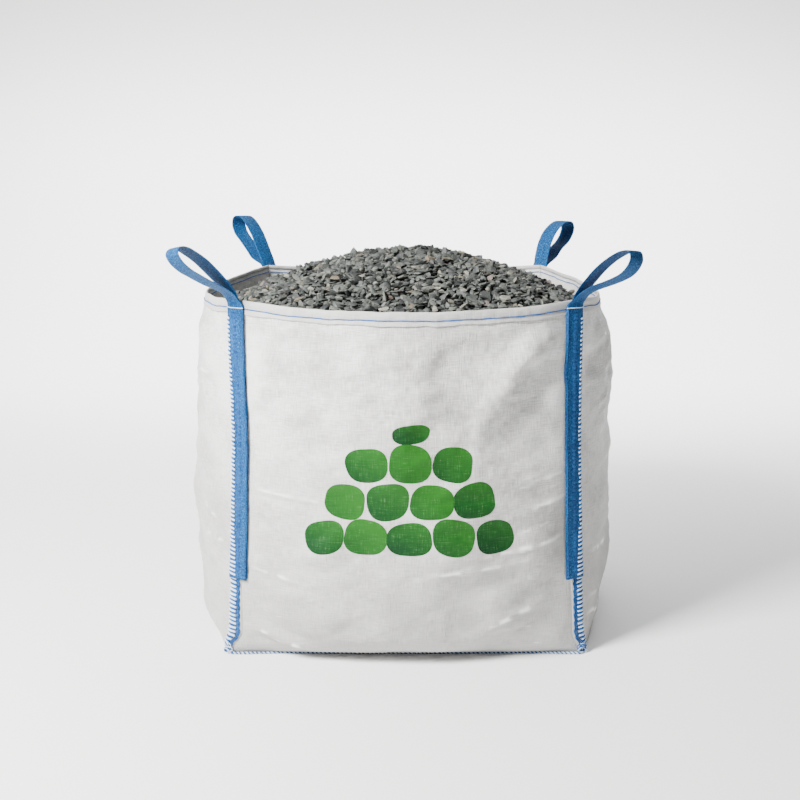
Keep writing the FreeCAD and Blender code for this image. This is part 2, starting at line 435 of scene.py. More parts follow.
def skin(panel, across, height, lift=0.0):
    """Points on a panel's rumpled outer face, or lifted off it."""
    across, height = np.broadcast_arrays(np.asarray(across, float), np.asarray(height, float))
    normal = skin_normal(panel, across, height)
    away = relief(panel, across, height) + lift
    return smooth_skin(panel, across, height) + normal * away[..., None]


def corner_skin(corner, out, height, lift=0.0):
    """Points near a corner: out runs from the front or back panel, below 0, to the side panel, above 0."""
    out, height, lift = np.broadcast_arrays(
        np.asarray(out, float), np.asarray(height, float), np.asarray(lift, float)
    )
    end_panel, end, side_panel, side_end = CORNERS[corner]
    across = 1 - np.abs(out) / CORNER_REACH
    turn = 0.012
    points = np.where(
        (out < 0)[..., None],
        skin(end_panel, end * across, height, 0),
        skin(side_panel, side_end * across, height, 0),
    )
    normal = unit(
        skin_normal(end_panel, end * across, height) * smooth_step(-out, -turn, turn)[..., None]
        + skin_normal(side_panel, side_end * across, height) * smooth_step(out, -turn, turn)[..., None]
    )
    return points + normal * lift[..., None]


# ---------------------------------------------------------------- materials
class Nodes:
    """Short ways to add and join the nodes of one material."""

    def __init__(self, name):
        self.material = bpy.data.materials.new(name)
        self.material.use_nodes = True
        self.tree = self.material.node_tree
        self.shader = self.tree.nodes["Principled BSDF"]

    def add(self, kind, settings=None, **inputs):
        """A node. Its inputs are named by their labels, or i0, i1 and so on by their order."""
        node = self.tree.nodes.new("ShaderNode" + kind)
        for label, value in (settings or {}).items():
            setattr(node, label, value)
        for label, value in inputs.items():
            in_order = label[0] == "i" and label[1:].isdigit()
            key = int(label[1:]) if in_order else label.replace("_", " ")
            self.feed(node.inputs[key], value)
        return node

    def feed(self, socket, value):
        if isinstance(value, bpy.types.NodeSocket):
            self.tree.links.new(value, socket)
        elif isinstance(value, bpy.types.Node):
            self.tree.links.new(value.outputs[0], socket)
        else:
            socket.default_value = value

    def math(self, operation, first, second=0.0, third=0.0):
        return self.add("Math", {"operation": operation}, i0=first, i1=second, i2=third).outputs[0]

    def mix(self, share, first, second):
        node = self.add("Mix", {"data_type": "RGBA"})
        self.feed(node.inputs[0], share)
        self.feed(node.inputs[6], first)
        self.feed(node.inputs[7], second)
        return node.outputs[2]

    def ramp(self, value, low, high):
        """0 below low, 1 above high."""
        settings = {"interpolation_type": "SMOOTHSTEP"}
        return self.add("MapRange", settings, i0=value, i1=low, i2=high).outputs[0]

    def noise(self, vector, scale, detail=3.0, stretch=(1, 1, 1)):
        place = self.add("Mapping", None, Vector=vector, Scale=stretch)
        return self.add("TexNoise", None, Vector=place, Scale=scale, Detail=detail).outputs[0]

    def attribute(self, name):
        return self.add("Attribute", {"attribute_name": name}).outputs[2]

    def bump(self, height, distance, strength=1.0, after=None):
        node = self.add("Bump", None, Height=height, Distance=distance, Strength=strength)
        if after is not None:
            self.feed(node.inputs["Normal"], after)
        return node.outputs[0]

    def finish(self, colour, roughness, normal, **constants):
        self.feed(self.shader.inputs["Base Color"], colour)
        self.feed(self.shader.inputs["Roughness"], roughness)
        self.feed(self.shader.inputs["Normal"], normal)
        for label, value in constants.items():
            self.shader.inputs[label.replace("_", " ")].default_value = value
        return self.material


def colour(red, green, blue):
    """An opaque colour."""
    return (red, green, blue, 1.0)


def tape_weave(nodes):
    """The cloth's own coordinates, the height of its flat tapes woven one over one, and their slubs."""
    place = nodes.add("UVMap", {"uv_map": "cloth"})
    wobble = nodes.noise(place, 30.0, 2.0)
    split = nodes.add("SeparateXYZ", None, Vector=place)
    across = nodes.math("MULTIPLY_ADD", wobble, 0.002, split.outputs[0])
    up = nodes.math("MULTIPLY_ADD", wobble, 0.002, split.outputs[1])
    column = nodes.math("DIVIDE", across, WEAVE_PITCH)
    row = nodes.math("DIVIDE", up, WEAVE_PITCH)
    crossing = nodes.math("ADD", nodes.math("FLOOR", column), nodes.math("FLOOR", row))
    over = nodes.math("PINGPONG", crossing, 1.0)
    warp = nodes.math("ABSOLUTE", nodes.math("SINE", nodes.math("MULTIPLY", column, math.pi)))
    weft = nodes.math("ABSOLUTE", nodes.math("SINE", nodes.math("MULTIPLY", row, math.pi)))
    lower = nodes.math("MULTIPLY", warp, nodes.math("SUBTRACT", 1.0, over))
    height = nodes.math("MULTIPLY_ADD", weft, over, lower)
    slub_up = nodes.noise(place, 1.0, 3.0, (330, 34, 1))
    slub_across = nodes.noise(place, 1.0, 3.0, (34, 330, 1))
    return place, height, nodes.math("ADD", slub_up, slub_across)


def woven_material(name, light, dark, patch_size=2.2):
    """White woven tape cloth: slubs both ways, painted highlights along creases, painted shade low down."""
    nodes = Nodes(name)
    place, height, slubs = tape_weave(nodes)
    tone = nodes.ramp(nodes.math("MULTIPLY_ADD", height, 0.08, slubs), 0.45, 1.60)
    patch = nodes.noise(place, patch_size, 4.0)
    smudge = nodes.noise(place, 3 * patch_size, 4.0, (1, 1.6, 1))
    broad, fine = nodes.math("SUBTRACT", patch, 0.5), nodes.math("SUBTRACT", smudge, 0.5)
    blotch = nodes.math("MULTIPLY_ADD", fine, 0.8, broad)
    shade = nodes.math("MULTIPLY_ADD", blotch, 1.7, tone)
    base = nodes.mix(nodes.ramp(shade, -0.1, 1.1), dark, light)
    # Painted shade: the cloth is darkened towards its bottom, in blotches.
    height_up = nodes.add("SeparateXYZ", None, Vector=place).outputs[1]
    painted_low_shade = nodes.math("MULTIPLY_ADD", patch, -0.25, height_up)
    painted_low_shade = nodes.math("SUBTRACT", 1.0, nodes.ramp(painted_low_shade, -0.12, 0.62))
    base = nodes.mix(nodes.math("MULTIPLY", painted_low_shade, 0.60), base, colour(0.30, 0.295, 0.285))
    # Painted highlights: pale streaks along creases, and the crowns of narrow folds painted pale.
    streak = nodes.noise(place, 1.0, 2.0, (18, 120, 1))
    where = nodes.noise(place, 7.0, 2.0)
    crease_highlight = nodes.math("MULTIPLY", nodes.ramp(streak, 0.66, 0.74), nodes.ramp(where, 0.52, 0.66))
    highlighted = nodes.math("MAXIMUM", nodes.math("MULTIPLY", crease_highlight, 0.6), nodes.attribute("crease_highlight"))
    base = nodes.mix(highlighted, base, colour(0.95, 0.945, 0.92))
    rough = nodes.math("MULTIPLY_ADD", slubs, 0.10, 0.42)
    low = nodes.bump(slubs, 0.0016, 0.8)
    normal = nodes.bump(height, 0.0004, 0.3, low)
    return nodes.finish(base, rough, normal, Specular_IOR_Level=0.35)


def webbing_material(name, light, dark):
    """Blue webbing: ribs along it, picks across it, and painted glints where threads catch the light."""
    rib_pitch, pick_pitch = 0.0036, 0.0030
    nodes = Nodes(name)
    place = nodes.add("UVMap", {"uv_map": "cloth"})
    split = nodes.add("SeparateXYZ", None, Vector=place)
    rib = nodes.math("MULTIPLY", split.outputs[0], 2 * math.pi / rib_pitch)
    wave = nodes.math("PINGPONG", nodes.math("DIVIDE", split.outputs[0], rib_pitch), 1.0)
    along = nodes.math("MULTIPLY_ADD", wave, 1.2, nodes.math("DIVIDE", split.outputs[1], pick_pitch))
    pick = nodes.math("ABSOLUTE", nodes.math("SINE", nodes.math("MULTIPLY", along, math.pi)))
    ribbed = nodes.math("ABSOLUTE", nodes.math("SINE", nodes.math("MULTIPLY", rib, 0.5)))
    height = nodes.math("MULTIPLY", pick, ribbed)
    speck = nodes.noise(place, 1.0, 2.0, (340, 210, 1))
    run = nodes.noise(place, 1.0, 3.0, (90, 9, 1))
    tone = nodes.math("ADD", nodes.math("MULTIPLY", height, 0.25), nodes.math("MULTIPLY", run, 0.4))
    tone = nodes.math("MULTIPLY_ADD", speck, 1.1, tone)
    base = nodes.mix(nodes.ramp(tone, 0.55, 1.15), dark, light)
    # Painted glints: specks on the ribs' crowns are lightened in the colour.
    glint = nodes.math("MULTIPLY", nodes.ramp(speck, 0.58, 0.70), nodes.ramp(height, 0.1, 0.6))
    base = nodes.mix(nodes.math("MULTIPLY", glint, 0.45), base, colour(0.15, 0.37, 0.62))
    low = nodes.bump(height, 0.0009, 0.7)
    normal = nodes.bump(speck, 0.0004, 0.4, low)
    rough = nodes.math("MULTIPLY_ADD", speck, 0.15, 0.55)
    return nodes.finish(base, rough, normal, Specular_IOR_Level=0.12)


def thread_material(name, light, dark):
    """Twisted thread."""
    nodes = Nodes(name)
    place = nodes.add("TexCoord").outputs["Object"]
    twist = nodes.noise(place, 900.0, 1.0)
    fade = nodes.noise(place, 40.0, 2.0)
    tone = nodes.math("MULTIPLY_ADD", twist, 0.7, nodes.math("MULTIPLY", fade, 0.5))
    base = nodes.mix(nodes.ramp(tone, 0.35, 0.8), dark, light)
    rough = nodes.math("MULTIPLY_ADD", twist, 0.2, 0.45)
    return nodes.finish(base, rough, nodes.bump(twist, 0.0004, 0.6), Specular_IOR_Level=0.15)


def print_material(name, light, dark):
    """Green ink on the woven cloth: it follows the tapes and thins on their crowns."""
    nodes = Nodes(name)
    _, height, slubs = tape_weave(nodes)
    tone = nodes.math("MULTIPLY_ADD", nodes.math("SUBTRACT", slubs, 1.0), 0.35, nodes.attribute("tint"))
    base = nodes.mix(nodes.ramp(tone, 0.0, 1.0), dark, light)
    worn = nodes.ramp(nodes.math("MULTIPLY_ADD", height, 0.3, slubs), 1.36, 1.6)
    base = nodes.mix(nodes.math("MULTIPLY", worn, 0.16), base, colour(0.35, 0.50, 0.30))
    rough = nodes.math("MULTIPLY_ADD", slubs, 0.12, 0.38)
    low = nodes.bump(slubs, 0.0007, 0.5)
    normal = nodes.bump(height, 0.0003, 0.5, low)
    return nodes.finish(base, rough, normal, Specular_IOR_Level=0.12)


# Where each shade of stone begins, as a share of all the chips
STONE_SHADES = [
    (0.0, (0.013, 0.015, 0.015)),
    (0.14, (0.025, 0.028, 0.027)),
    (0.38, (0.043, 0.048, 0.046)),
    (0.62, (0.066, 0.072, 0.067)),
    (0.82, (0.100, 0.105, 0.095)),
    (0.92, (0.165, 0.160, 0.136)),
    (0.965, (0.120, 0.098, 0.070)),
    (0.99, (0.125, 0.098, 0.086)),
]


def stone_material(name):
    """Crushed stone: grey-green, with some dark, brown and pinkish chips."""
    nodes = Nodes(name)
    place = nodes.add("TexCoord").outputs["Object"]
    ramp = nodes.add("ValToRGB", None, Fac=nodes.attribute("tint"))
    ramp.color_ramp.interpolation = "CONSTANT"
    stops = ramp.color_ramp.elements
    while len(stops) < len(STONE_SHADES):
        stops.new(1.0)
    for stop, (position, shade) in zip(stops, STONE_SHADES):
        stop.position = position
        stop.color = colour(*shade)
    grain = nodes.noise(place, 420.0, 4.0)
    vein = nodes.noise(place, 70.0, 5.0)
    dust = nodes.noise(place, 160.0, 3.0)
    darker = nodes.mix(nodes.ramp(grain, 0.3, 0.7), colour(0.42, 0.44, 0.46), colour(1.75, 1.72, 1.60))
    tinted = nodes.add("Mix", {"data_type": "RGBA", "blend_type": "MULTIPLY"})
    nodes.feed(tinted.inputs[0], 0.75)
    nodes.feed(tinted.inputs[6], ramp.outputs[0])
    nodes.feed(tinted.inputs[7], darker)
    veined = nodes.math("MULTIPLY", nodes.ramp(vein, 0.55, 0.7), 0.30)
    base = nodes.mix(veined, tinted.outputs[2], colour(0.17, 0.17, 0.15))
    dusty = nodes.math("MULTIPLY", nodes.ramp(dust, 0.55, 0.75), 0.22)
    base = nodes.mix(dusty, base, colour(0.13, 0.13, 0.115))
    rough = nodes.math("MULTIPLY_ADD", grain, 0.3, 0.42)
    low = nodes.bump(vein, 0.003, 0.6)
    normal = nodes.bump(grain, 0.0012, 0.7, low)
    return nodes.finish(base, rough, normal, Specular_IOR_Level=0.4)


CLOTH_FINISH = woven_material("woven_cloth", colour(0.76, 0.752, 0.735), colour(0.42, 0.413, 0.40))
HEM_FINISH = woven_material("woven_hem", colour(0.84, 0.835, 0.82), colour(0.62, 0.615, 0.60), 9.0)
WEBBING_FINISH = webbing_material("blue_webbing", colour(0.016, 0.110, 0.290), colour(0.001, 0.018, 0.074))
PALE_THREAD = thread_material("pale_overlock_thread", colour(0.74, 0.82, 0.92), colour(0.48, 0.62, 0.82))
BLUE_THREAD = thread_material("blue_overlock_thread", colour(0.02, 0.11, 0.32), colour(0.002, 0.02, 0.10))
SEAM_THREAD = thread_material("seam_thread", colour(0.030, 0.125, 0.330), colour(0.004, 0.030, 0.120))
HEM_THREAD = thread_material("hem_thread", colour(0.04, 0.15, 0.42), colour(0.008, 0.045, 0.18))
INK = print_material("green_ink", colour(0.018, 0.122, 0.012), colour(0.001, 0.026, 0.008))
STONE = stone_material("crushed_stone")


# ---------------------------------------------------------------- cloth panels
def cloth_uv(across, height):
    """Coordinates on the cloth, in metres, one pair for each point."""
    return np.stack([across * HALF_PANEL + HALF_PANEL, height], -1).reshape(-1, 2)


def crease_highlight_marks(panel, across, height):
    """1 along the crowns of the narrow folds, where the cloth gets a painted highlight."""
    x = across * HALF_PANEL
    marks = np.zeros(np.shape(x))
    for start, end, width, depth in panel_folds[panel]:
        if width < 0.016 and depth > 0:
            marks = np.maximum(marks, soft_fold(x, height, start, end, width * 0.4, 1.0) * depth / 0.0030)
    broken = smooth_step(lattice_noise(x, height * 2, 0.025, 77), -0.4, 0.3)
    return np.clip(marks, 0, 1) * broken


def panel_rows(count, across):
    """Heights from the floor to just under the rim, closer together near the floor."""
    share = np.linspace(0, 1, count) ** 1.25
    return floor_height + share[:, None] * (rim_at(across)[None, :] - 0.0006 - floor_height)


def cloth_grid(panel, across, height):
    """Outer points, inner points, coordinates and highlight marks of a panel."""
    outer = skin(panel, across, height, -CLOTH_INSET)
    inner = skin(panel, across, height, -CLOTH_INSET - CLOTH)
    return outer, inner, cloth_uv(across, height), crease_highlight_marks(panel, across, height)


def cloth_piece(name, outer, inner, uv, marks=0.0, finish=CLOTH_FINISH):
    """A closed piece of cloth from two matching grids, with coordinates and highlight marks for one of them.
    """
    points, faces = closed_shell(outer, inner)
    uv = uv.reshape(-1, 2)
    marks = np.broadcast_to(np.ravel(marks), len(uv))
    piece = make_piece(
        name, points, faces, finish, uv=np.tile(uv, (2, 1)), values={"crease_highlight": np.tile(marks, 2)}
    )
    return piece


def end_panel(name):
    """The front or back panel: one closed, rumpled sheet."""
    across = np.linspace(-0.9985, 0.9985, PANEL_COLUMNS)
    height = panel_rows(PANEL_ROWS, across)
    across = np.broadcast_to(across, height.shape)
    piece = cloth_piece(name + "_panel_cloth", *cloth_grid(name, across, height))
    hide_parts(name + "_panel")
    return piece


def body_cloth():
    """Left side, base and right side as one sheet, its columns running from front to back."""
    across = np.linspace(-0.9985, 0.9985, SIDE_COLUMNS)
    off_the_floor = 0.0002
    grids = []
    for name, order in (("left", -1), ("right", 1)):
        ends = across * order
        height = panel_rows(SIDE_ROWS, ends) + off_the_floor
        ends = np.broadcast_to(ends, height.shape)
        grids.append(cloth_grid(name, ends, height))
    left, right = grids
    share = np.linspace(0, 1, BASE_ROWS + 2)[1:-1, None, None]
    shape = left[0].shape[:2]

    def floor_points(start, end):
        return start * (1 - share) + end * share

    def no_marks(start, end):
        return 0 * floor_points(start, end)

    def strip(index, width, base=floor_points):
        down = left[index].reshape(*shape, width)[::-1]
        up = right[index].reshape(*shape, width)
        return np.concatenate([down, base(down[-1], up[0]), up])

    outer = strip(0, 3)
    inner = strip(1, 3)
    floor_rows = slice(shape[0], shape[0] + BASE_ROWS)
    inner[floor_rows, :, 2] = outer[floor_rows, :, 2] + CLOTH
    uv = strip(2, 2)
    uv[floor_rows, :, 1] -= 1.0
    piece = cloth_piece("body_panel_cloth", outer, inner, uv, strip(3, 1, no_marks))
    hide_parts("body_panel")
    return piece


def hem(name):
    """The rim's cloth, folded outwards: up inside the panel's edge, over it and down to a raw edge."""
    across = np.linspace(-0.997, 0.997, HEM_COLUMNS)
    # Along the fold: how far below the rim, and how far out from the skin
    profile = np.array([
        (0.010, -0.0026), (0.004, -0.0027), (0.0005, -0.0024), (-0.0012, -0.0012), (-0.0014, 0.0),
        (-0.0008, 0.0012), (0.0010, 0.0020), (0.0045, 0.0026), (0.008, 0.0027), (0.012, 0.0023),
        (0.016, 0.0015), (HEM_STITCH_DROP, 0.0008), (0.022, 0.0014), (0.025, 0.0021),
        (0.029, 0.0027), (HEM_DEPTH, 0.0028),
    ])
    below, off = profile[:, :1], profile[:, 1:]
    wave = line_noise(across * HALF_PANEL, 0.03, 31 + len(name))
    pucker = line_noise(across * HALF_PANEL, 0.0115, 35 + len(name))
    loose = smooth_step(below, 0.5 * HEM_DEPTH, HEM_DEPTH)
    puffed = np.sin(math.pi * np.clip(below / HEM_STITCH_DROP, 0, 1))
    drop = below * (1 + 0.02 * wave) + loose * (0.0010 * wave + 0.0006 * pucker)
    lift = off + loose * (0.0006 * wave + 0.0005 * pucker) + puffed * (0.0005 * wave + 0.0007 * pucker)
    height = rim_at(across)[None, :] - drop
    spread = np.broadcast_to(across, height.shape)
    outer = skin(name, spread, height, lift)[::-1]
    inner = outer - grid_normals(outer) * CLOTH * 0.7
    uv = cloth_uv(spread, drop)[::-1]
    piece = cloth_piece("hem_" + name + "_cloth", outer, inner, uv, finish=HEM_FINISH)
    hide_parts("hem_" + name)
    return piece


def thread_piece(name, parts, finish):
    """One piece from the points and faces of several lengths of thread."""
    points, faces = join(parts)
    piece = make_piece(name, points, faces, finish)
    return piece


def hem_stitches(name):
    """The row of lock stitches that holds a hem: each dips into the cloth at its ends."""
    pitch, steps = 0.0085, 6
    count = int(2 * HALF_PANEL / pitch)
    across = np.linspace(-0.992, 0.992, count * steps + 1)
    phase = np.arange(len(across)) * math.pi / steps
    lift = 0.0006 + 0.0011 * np.abs(np.sin(phase)) ** 0.6
    height = rim_at(across) - HEM_STITCH_DROP + 0.0005 * line_noise(across, 0.06, 51)
    outside = tube(skin(name, across, height, lift + 0.0006), 0.0013)
    inside = tube(skin(name, across, height, -0.0031 - lift * 0.5), 0.0012)
    piece = thread_piece("hem_stitches_" + name, [outside, inside], HEM_THREAD)
    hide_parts("hem_stitching_" + name)


# ---------------------------------------------------------------- corners
# How far each corner's seam and strap are pulled towards the front or back panel: at the rim, and lower down
SEAM_DRIFT = {
    "front_left": (-0.003, -0.019),
    "front_right": (-0.009, -0.013),
    "back_left": (-0.002, -0.008),
    "back_right": (-0.004, -0.012),
}


def seam_drift(corner, height):
    """The drift at a height: near the floor the seam kinks back to the corner."""
    at_rim, lower = SEAM_DRIFT[corner]
    drift = lower + (at_rim - lower) * smooth_step(height, 0.50, rim_height)
    return drift + (0.003 - drift) * (1 - smooth_step(height, 0.012, 0.058))


def corner_fin(corner):
    """The sewn edges of two panels, lying against the side panel."""
    out = np.array([-0.014, -0.011, -0.006, 0.000, 0.006, 0.012, FIN_EDGE])
    lift = np.array([0.0004, 0.0014, 0.0022, 0.0025, 0.0026, 0.0026, 0.0024])
    under_lift = np.maximum(lift - 0.0022, 0.0001)
    height = np.linspace(SEAM_FOOT, seam_head, 260)[:, None]
    sway = 0.0018 * line_noise(height, 0.05, 5 + len(corner))
    place = out[None, :] + sway + seam_drift(corner, height)
    outer = corner_skin(corner, place, height, lift[None, :])
    inner = corner_skin(corner, place, height, under_lift[None, :])
    if CORNERS[corner][1] < 0:
        outer = outer[:, ::-1]
        inner = inner[:, ::-1]
    uv = np.stack(np.broadcast_arrays(out[None, :], height), -1)
    piece = cloth_piece("corner_fin_" + corner, outer, inner, uv)
    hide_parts("corner_seam_" + corner)


def overlock_lift(height):
    """The fin and the strap under the thread are thicker above the strap's foot."""
    return 0.0030 + 0.0042 * smooth_step(height, strap_foot - 0.006, strap_foot + 0.012)


def overlock(corner, kind, phase, radius, finish, near, far):
    """Thread wrapped over the edge of a corner seam, one slanting stitch after another.

    The strap covers the thread's inner ends higher up."""
    rng = np.random.default_rng(len(corner) * 7 + int(phase * 10))
    share = np.linspace(0, 1, 11)
    first = SEAM_FOOT + OVERLOCK_PITCH * phase
    parts = []
    for start in np.arange(first, seam_head - OVERLOCK_PITCH, OVERLOCK_PITCH):
        slant = OVERLOCK_PITCH * (0.30 + 0.10 * rng.standard_normal())
        height = start + slant * share
        inner_end = near + 0.009 * smooth_step(start, strap_foot - 0.01, strap_foot + 0.20)
        straying = 0.0008 * rng.standard_normal()
        out = inner_end + (far - inner_end) * share + straying + seam_drift(corner, height)
        lift = overlock_lift(height) + 0.0011 * np.sin(math.pi * share) ** 0.5 - 0.0035 * share ** 6
        parts.append(tube(corner_skin(corner, out, height, lift), radius))
    return thread_piece("overlock_" + kind + "_" + corner, parts, finish)


def needle_line(corner, kind, out, radius, finish):
    """A line of chain stitches up a corner seam."""
    pitch, steps = 0.0100, 8
    height = np.arange(SEAM_FOOT, seam_head, pitch / steps)
    phase = np.arange(len(height)) * 2 * math.pi / steps
    lift = overlock_lift(height) + 0.0007 * np.sin(phase)
    sideways = out + 0.0011 * np.sin(phase * 0.5) + seam_drift(corner, height)
    line = tube(corner_skin(corner, sideways, height, lift), radius)
    thread_piece("overlock_" + kind + "_" + corner, [line], finish)


def tuft(corner):
    """Loose ends of the overlock thread, tangled where the seams meet at the floor."""
    rng = np.random.default_rng(len(corner) + 300)
    parts = []
    for _ in range(16):
        turn = np.linspace(0, rng.uniform(2.0, 5.5), 12) + rng.uniform(0, 6)
        reach = rng.uniform(0.003, 0.008)
        out = rng.uniform(-0.010, 0.014) + reach * np.cos(turn)
        height = np.maximum(rng.uniform(0.004, 0.020) + reach * np.sin(turn), 0.0022)
        lift = 0.0030 + rng.uniform(0.0, 0.005) + 0.002 * np.sin(turn * 0.7)
        parts.append(tube(corner_skin(corner, out, height, lift), 0.0012))
    thread_piece("thread_tuft_pale_" + corner, parts[::2], PALE_THREAD)
    thread_piece("thread_tuft_blue_" + corner, parts[1::2], HEM_THREAD)


# The lifting loops' centre lines: outwards from the corner along the bag's diagonal, up from the
# rim, and sideways. The straps' outer legs come first, then the bights, then the inner legs.
LOOP_LINES = {
    "front_left": [
        (0.0062, -0.004, 0), (0.010, 0.006, 0), (0.022, 0.018, 0), (0.047, 0.032, 0), (0.074, 0.045, 0),
        (0.106, 0.062, 0), (0.134, 0.078, 0), (0.158, 0.099, 0), (0.168, 0.118, 0), (0.160, 0.130, 0),
        (0.141, 0.128, 0), (0.117, 0.115, 0), (0.089, 0.096, 0), (0.064, 0.074, 0), (0.043, 0.054, 0),
        (0.024, 0.034, 0), (0.011, 0.016, 0), (0.0055, 0.002, 0), (0.0040, -0.006, 0),
    ],
    "front_right": [
        (0.0062, -0.004, 0), (0.009, 0.004, 0), (0.024, 0.017, 0), (0.054, 0.033, 0), (0.082, 0.044, 0.001),
        (0.110, 0.056, 0.002), (0.132, 0.068, 0.001), (0.150, 0.086, 0), (0.158, 0.106, 0), (0.152, 0.122, 0),
        (0.132, 0.121, 0), (0.104, 0.108, 0), (0.077, 0.090, 0), (0.053, 0.069, 0), (0.033, 0.047, 0),
        (0.017, 0.026, 0), (0.008, 0.011, 0), (0.0052, 0.002, 0), (0.0040, -0.006, 0),
    ],
    "back_left": [
        (0.0062, -0.004, 0), (0.012, 0.004, 0), (0.028, 0.010, 0), (0.050, 0.020, 0), (0.070, 0.040, 0),
        (0.104, 0.070, 0), (0.130, 0.094, 0), (0.140, 0.118, 0), (0.134, 0.138, 0), (0.116, 0.144, 0),
        (0.092, 0.135, 0), (0.066, 0.112, 0), (0.045, 0.086, 0), (0.029, 0.059, 0), (0.018, 0.034, 0),
        (0.009, 0.014, 0), (0.0052, 0.002, 0), (0.0040, -0.006, 0),
    ],
    "back_right": [
        (0.0062, -0.004, 0), (0.012, 0.004, 0), (0.028, 0.012, 0), (0.046, 0.022, 0), (0.070, 0.046, 0),
        (0.100, 0.065, 0), (0.120, 0.086, 0), (0.128, 0.108, 0), (0.118, 0.125, 0), (0.098, 0.128, 0),
        (0.070, 0.119, 0), (0.038, 0.096, 0), (0.016, 0.064, 0), (0.008, 0.034, 0),
        (0.006, 0.014, 0), (0.0050, 0.002, 0), (0.0040, -0.006, 0),
    ],
}
# How far a loop leans over sideways, as a slope
LOOP_LEAN = {"front_left": -0.20, "front_right": -0.15, "back_left": 0.0, "back_right": 0.0}


def corner_axes(corner):
    """The corner's place at the rim, outwards along the diagonal, and sideways towards the side panel."""
    place = corner_skin(corner, 0.0, rim_height)
    outwards = np.array([math.copysign(1, place[0]), math.copysign(1, place[1]), 0]) / math.sqrt(2)
    sideways = np.array([outwards[0], -outwards[1], 0])
    return place, outwards, sideways


def strap_leg(corner, lift, seed, top, stations):
    """Points of a strap's sewn leg, from its foot up to the rim."""
    height = np.arange(strap_foot, top - STRAP_STEP, STRAP_STEP)[:, None]
    wave = 0.0007 * line_noise(height, 0.045, seed)
    out = STRAP_SHIFT + stations[None, :] * STRAP_WIDTH + wave + seam_drift(corner, height)
    return corner_skin(corner, out, height, lift)


def loop_rows(corner, stations):
    """Points of a lifting loop, across its webbing at every step along it."""
    place, outwards, sideways = corner_axes(corner)
    up = np.array([0, 0, 1])
    loop = curve_through(LOOP_LINES[corner], STRAP_STEP)
    middle = place + loop[:, :1] * outwards + loop[:, 2:] * sideways + loop[:, 1:2] * up
    run = run_along(middle)
    tangent = unit(np.gradient(middle, axis=0))
    settle = smooth_step(run, 0.0, 0.08) * smooth_step(run[-1] - run, 0.0, 0.08)
    shift = (STRAP_SHIFT * (1 - settle))[:, None, None]
    sway = 0.05 * line_noise(run, 0.12, 60 + len(corner)) * settle
    lean = LOOP_LEAN[corner] * settle[:, None] * up
    width_way = unit(sideways + np.cross(tangent, sideways) * sway[:, None] + lean)
    return middle[:, None] + width_way[:, None] * (stations[None, :, None] * STRAP_WIDTH + shift)


def eased(rows, joins):
    """Rows of points with the kinks smoothed where one part runs on into the next."""
    smooth = rows.copy()
    for _ in range(6):
        smooth[1:-1] = 0.5 * smooth[1:-1] + 0.25 * (smooth[:-2] + smooth[2:])
    number = np.arange(len(rows))
    nearness = sum(np.exp(-((number - join_row) / 6.0) ** 2) for join_row in joins)
    share = np.clip(nearness, 0, 1)[:, None, None]
    return rows * (1 - share) + smooth * share


def strap(corner):
    """One strap in one length: up the outer leg, round the lifting loop and down the inner leg."""
    rim_place, _, _ = corner_axes(corner)
    stations = np.linspace(-0.5, 0.5, 13)
    middle_station = 6
    half_thickness = np.array([0.35, 0.8, 1, 1, 1, 1, 1, 1, 1, 1, 1, 0.8, 0.35]) * WEBBING / 2
    outer_leg = strap_leg(corner, OUTER_LIFT, 70 + len(corner), rim_place[2], stations)
    inner_leg = strap_leg(corner, INNER_LIFT, 80 + len(corner), rim_place[2], stations)
    rows = np.concatenate([outer_leg, loop_rows(corner, stations), inner_leg[::-1]])
    rows = eased(rows, (len(outer_leg), len(rows) - len(inner_leg)))
    normal = grid_normals(rows)
    thickness = normal * half_thickness[None, :, None]
    points, faces = closed_shell(rows + thickness, rows - thickness)
    length = run_along(rows[:, middle_station])
    across = stations * STRAP_WIDTH + STRAP_WIDTH
    uv = np.stack(np.broadcast_arrays(across[None, :], length[:, None]), -1).reshape(-1, 2)
    piece = make_piece("strap_" + corner, points, faces, WEBBING_FINISH, body=None, uv=np.tile(uv, (2, 1)))
    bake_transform(piece)
    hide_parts("strap_outer_" + corner, "strap_inner_" + corner, "lifting_loop_" + corner)


def strap_stitches(corner):
    """Two rows of stitches down a strap, and the pale stitches that cross it at the hem."""
    pitch, steps = 0.008, 6
    surface = OUTER_LIFT + WEBBING / 2
    height = np.arange(strap_foot + 0.008, rim_height - HEM_STITCH_DROP, pitch / steps)
    lift = surface + 0.0001 + 0.0007 * np.abs(np.sin(np.arange(len(height)) * math.pi / steps))
    rows = []
    for side in (-1, 1):
        out = STRAP_SHIFT + side * (STRAP_WIDTH / 2 - 0.004) + seam_drift(corner, height)
        rows.append(tube(corner_skin(corner, out, height, lift), 0.00065, 5))
    piece = thread_piece("strap_stitches_" + corner, rows, HEM_THREAD)
    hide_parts("strap_stitching_" + corner)
    across = np.linspace(-STRAP_WIDTH / 2, STRAP_WIDTH / 2, 49)
    height = rim_height - HEM_STITCH_DROP + 0 * across
    lift = surface + 0.0003 + 0.0008 * np.abs(np.sin(np.arange(len(across)) * math.pi / 8))
    out = across + STRAP_SHIFT + seam_drift(corner, height)
    line = tube(corner_skin(corner, out, height, lift), 0.0011)
    thread_piece("strap_cross_stitches_" + corner, [line], PALE_THREAD)


# ---------------------------------------------------------------- foot seams
def outwards_of(name):
    """The way out from the middle of a panel."""
    degrees = math.radians(PANELS[name][1])
    return np.array([math.cos(degrees), math.sin(degrees), 0])


def foot_line(name, out, count=FOOT_COLUMNS):
    """Points on the floor along the foot of a seamed panel, out from its edge."""
    across = np.linspace(-1, 1, count)
    return smooth_skin(name, across, floor_height + 0 * across) + outwards_of(name) * out


def foot_spread(across):
    """How far a foot seam stands out, as a share: the panel has rolled over it except near the corners."""
    return 0.35 + 0.65 * smooth_step(np.abs(across), 0.66, 0.95)


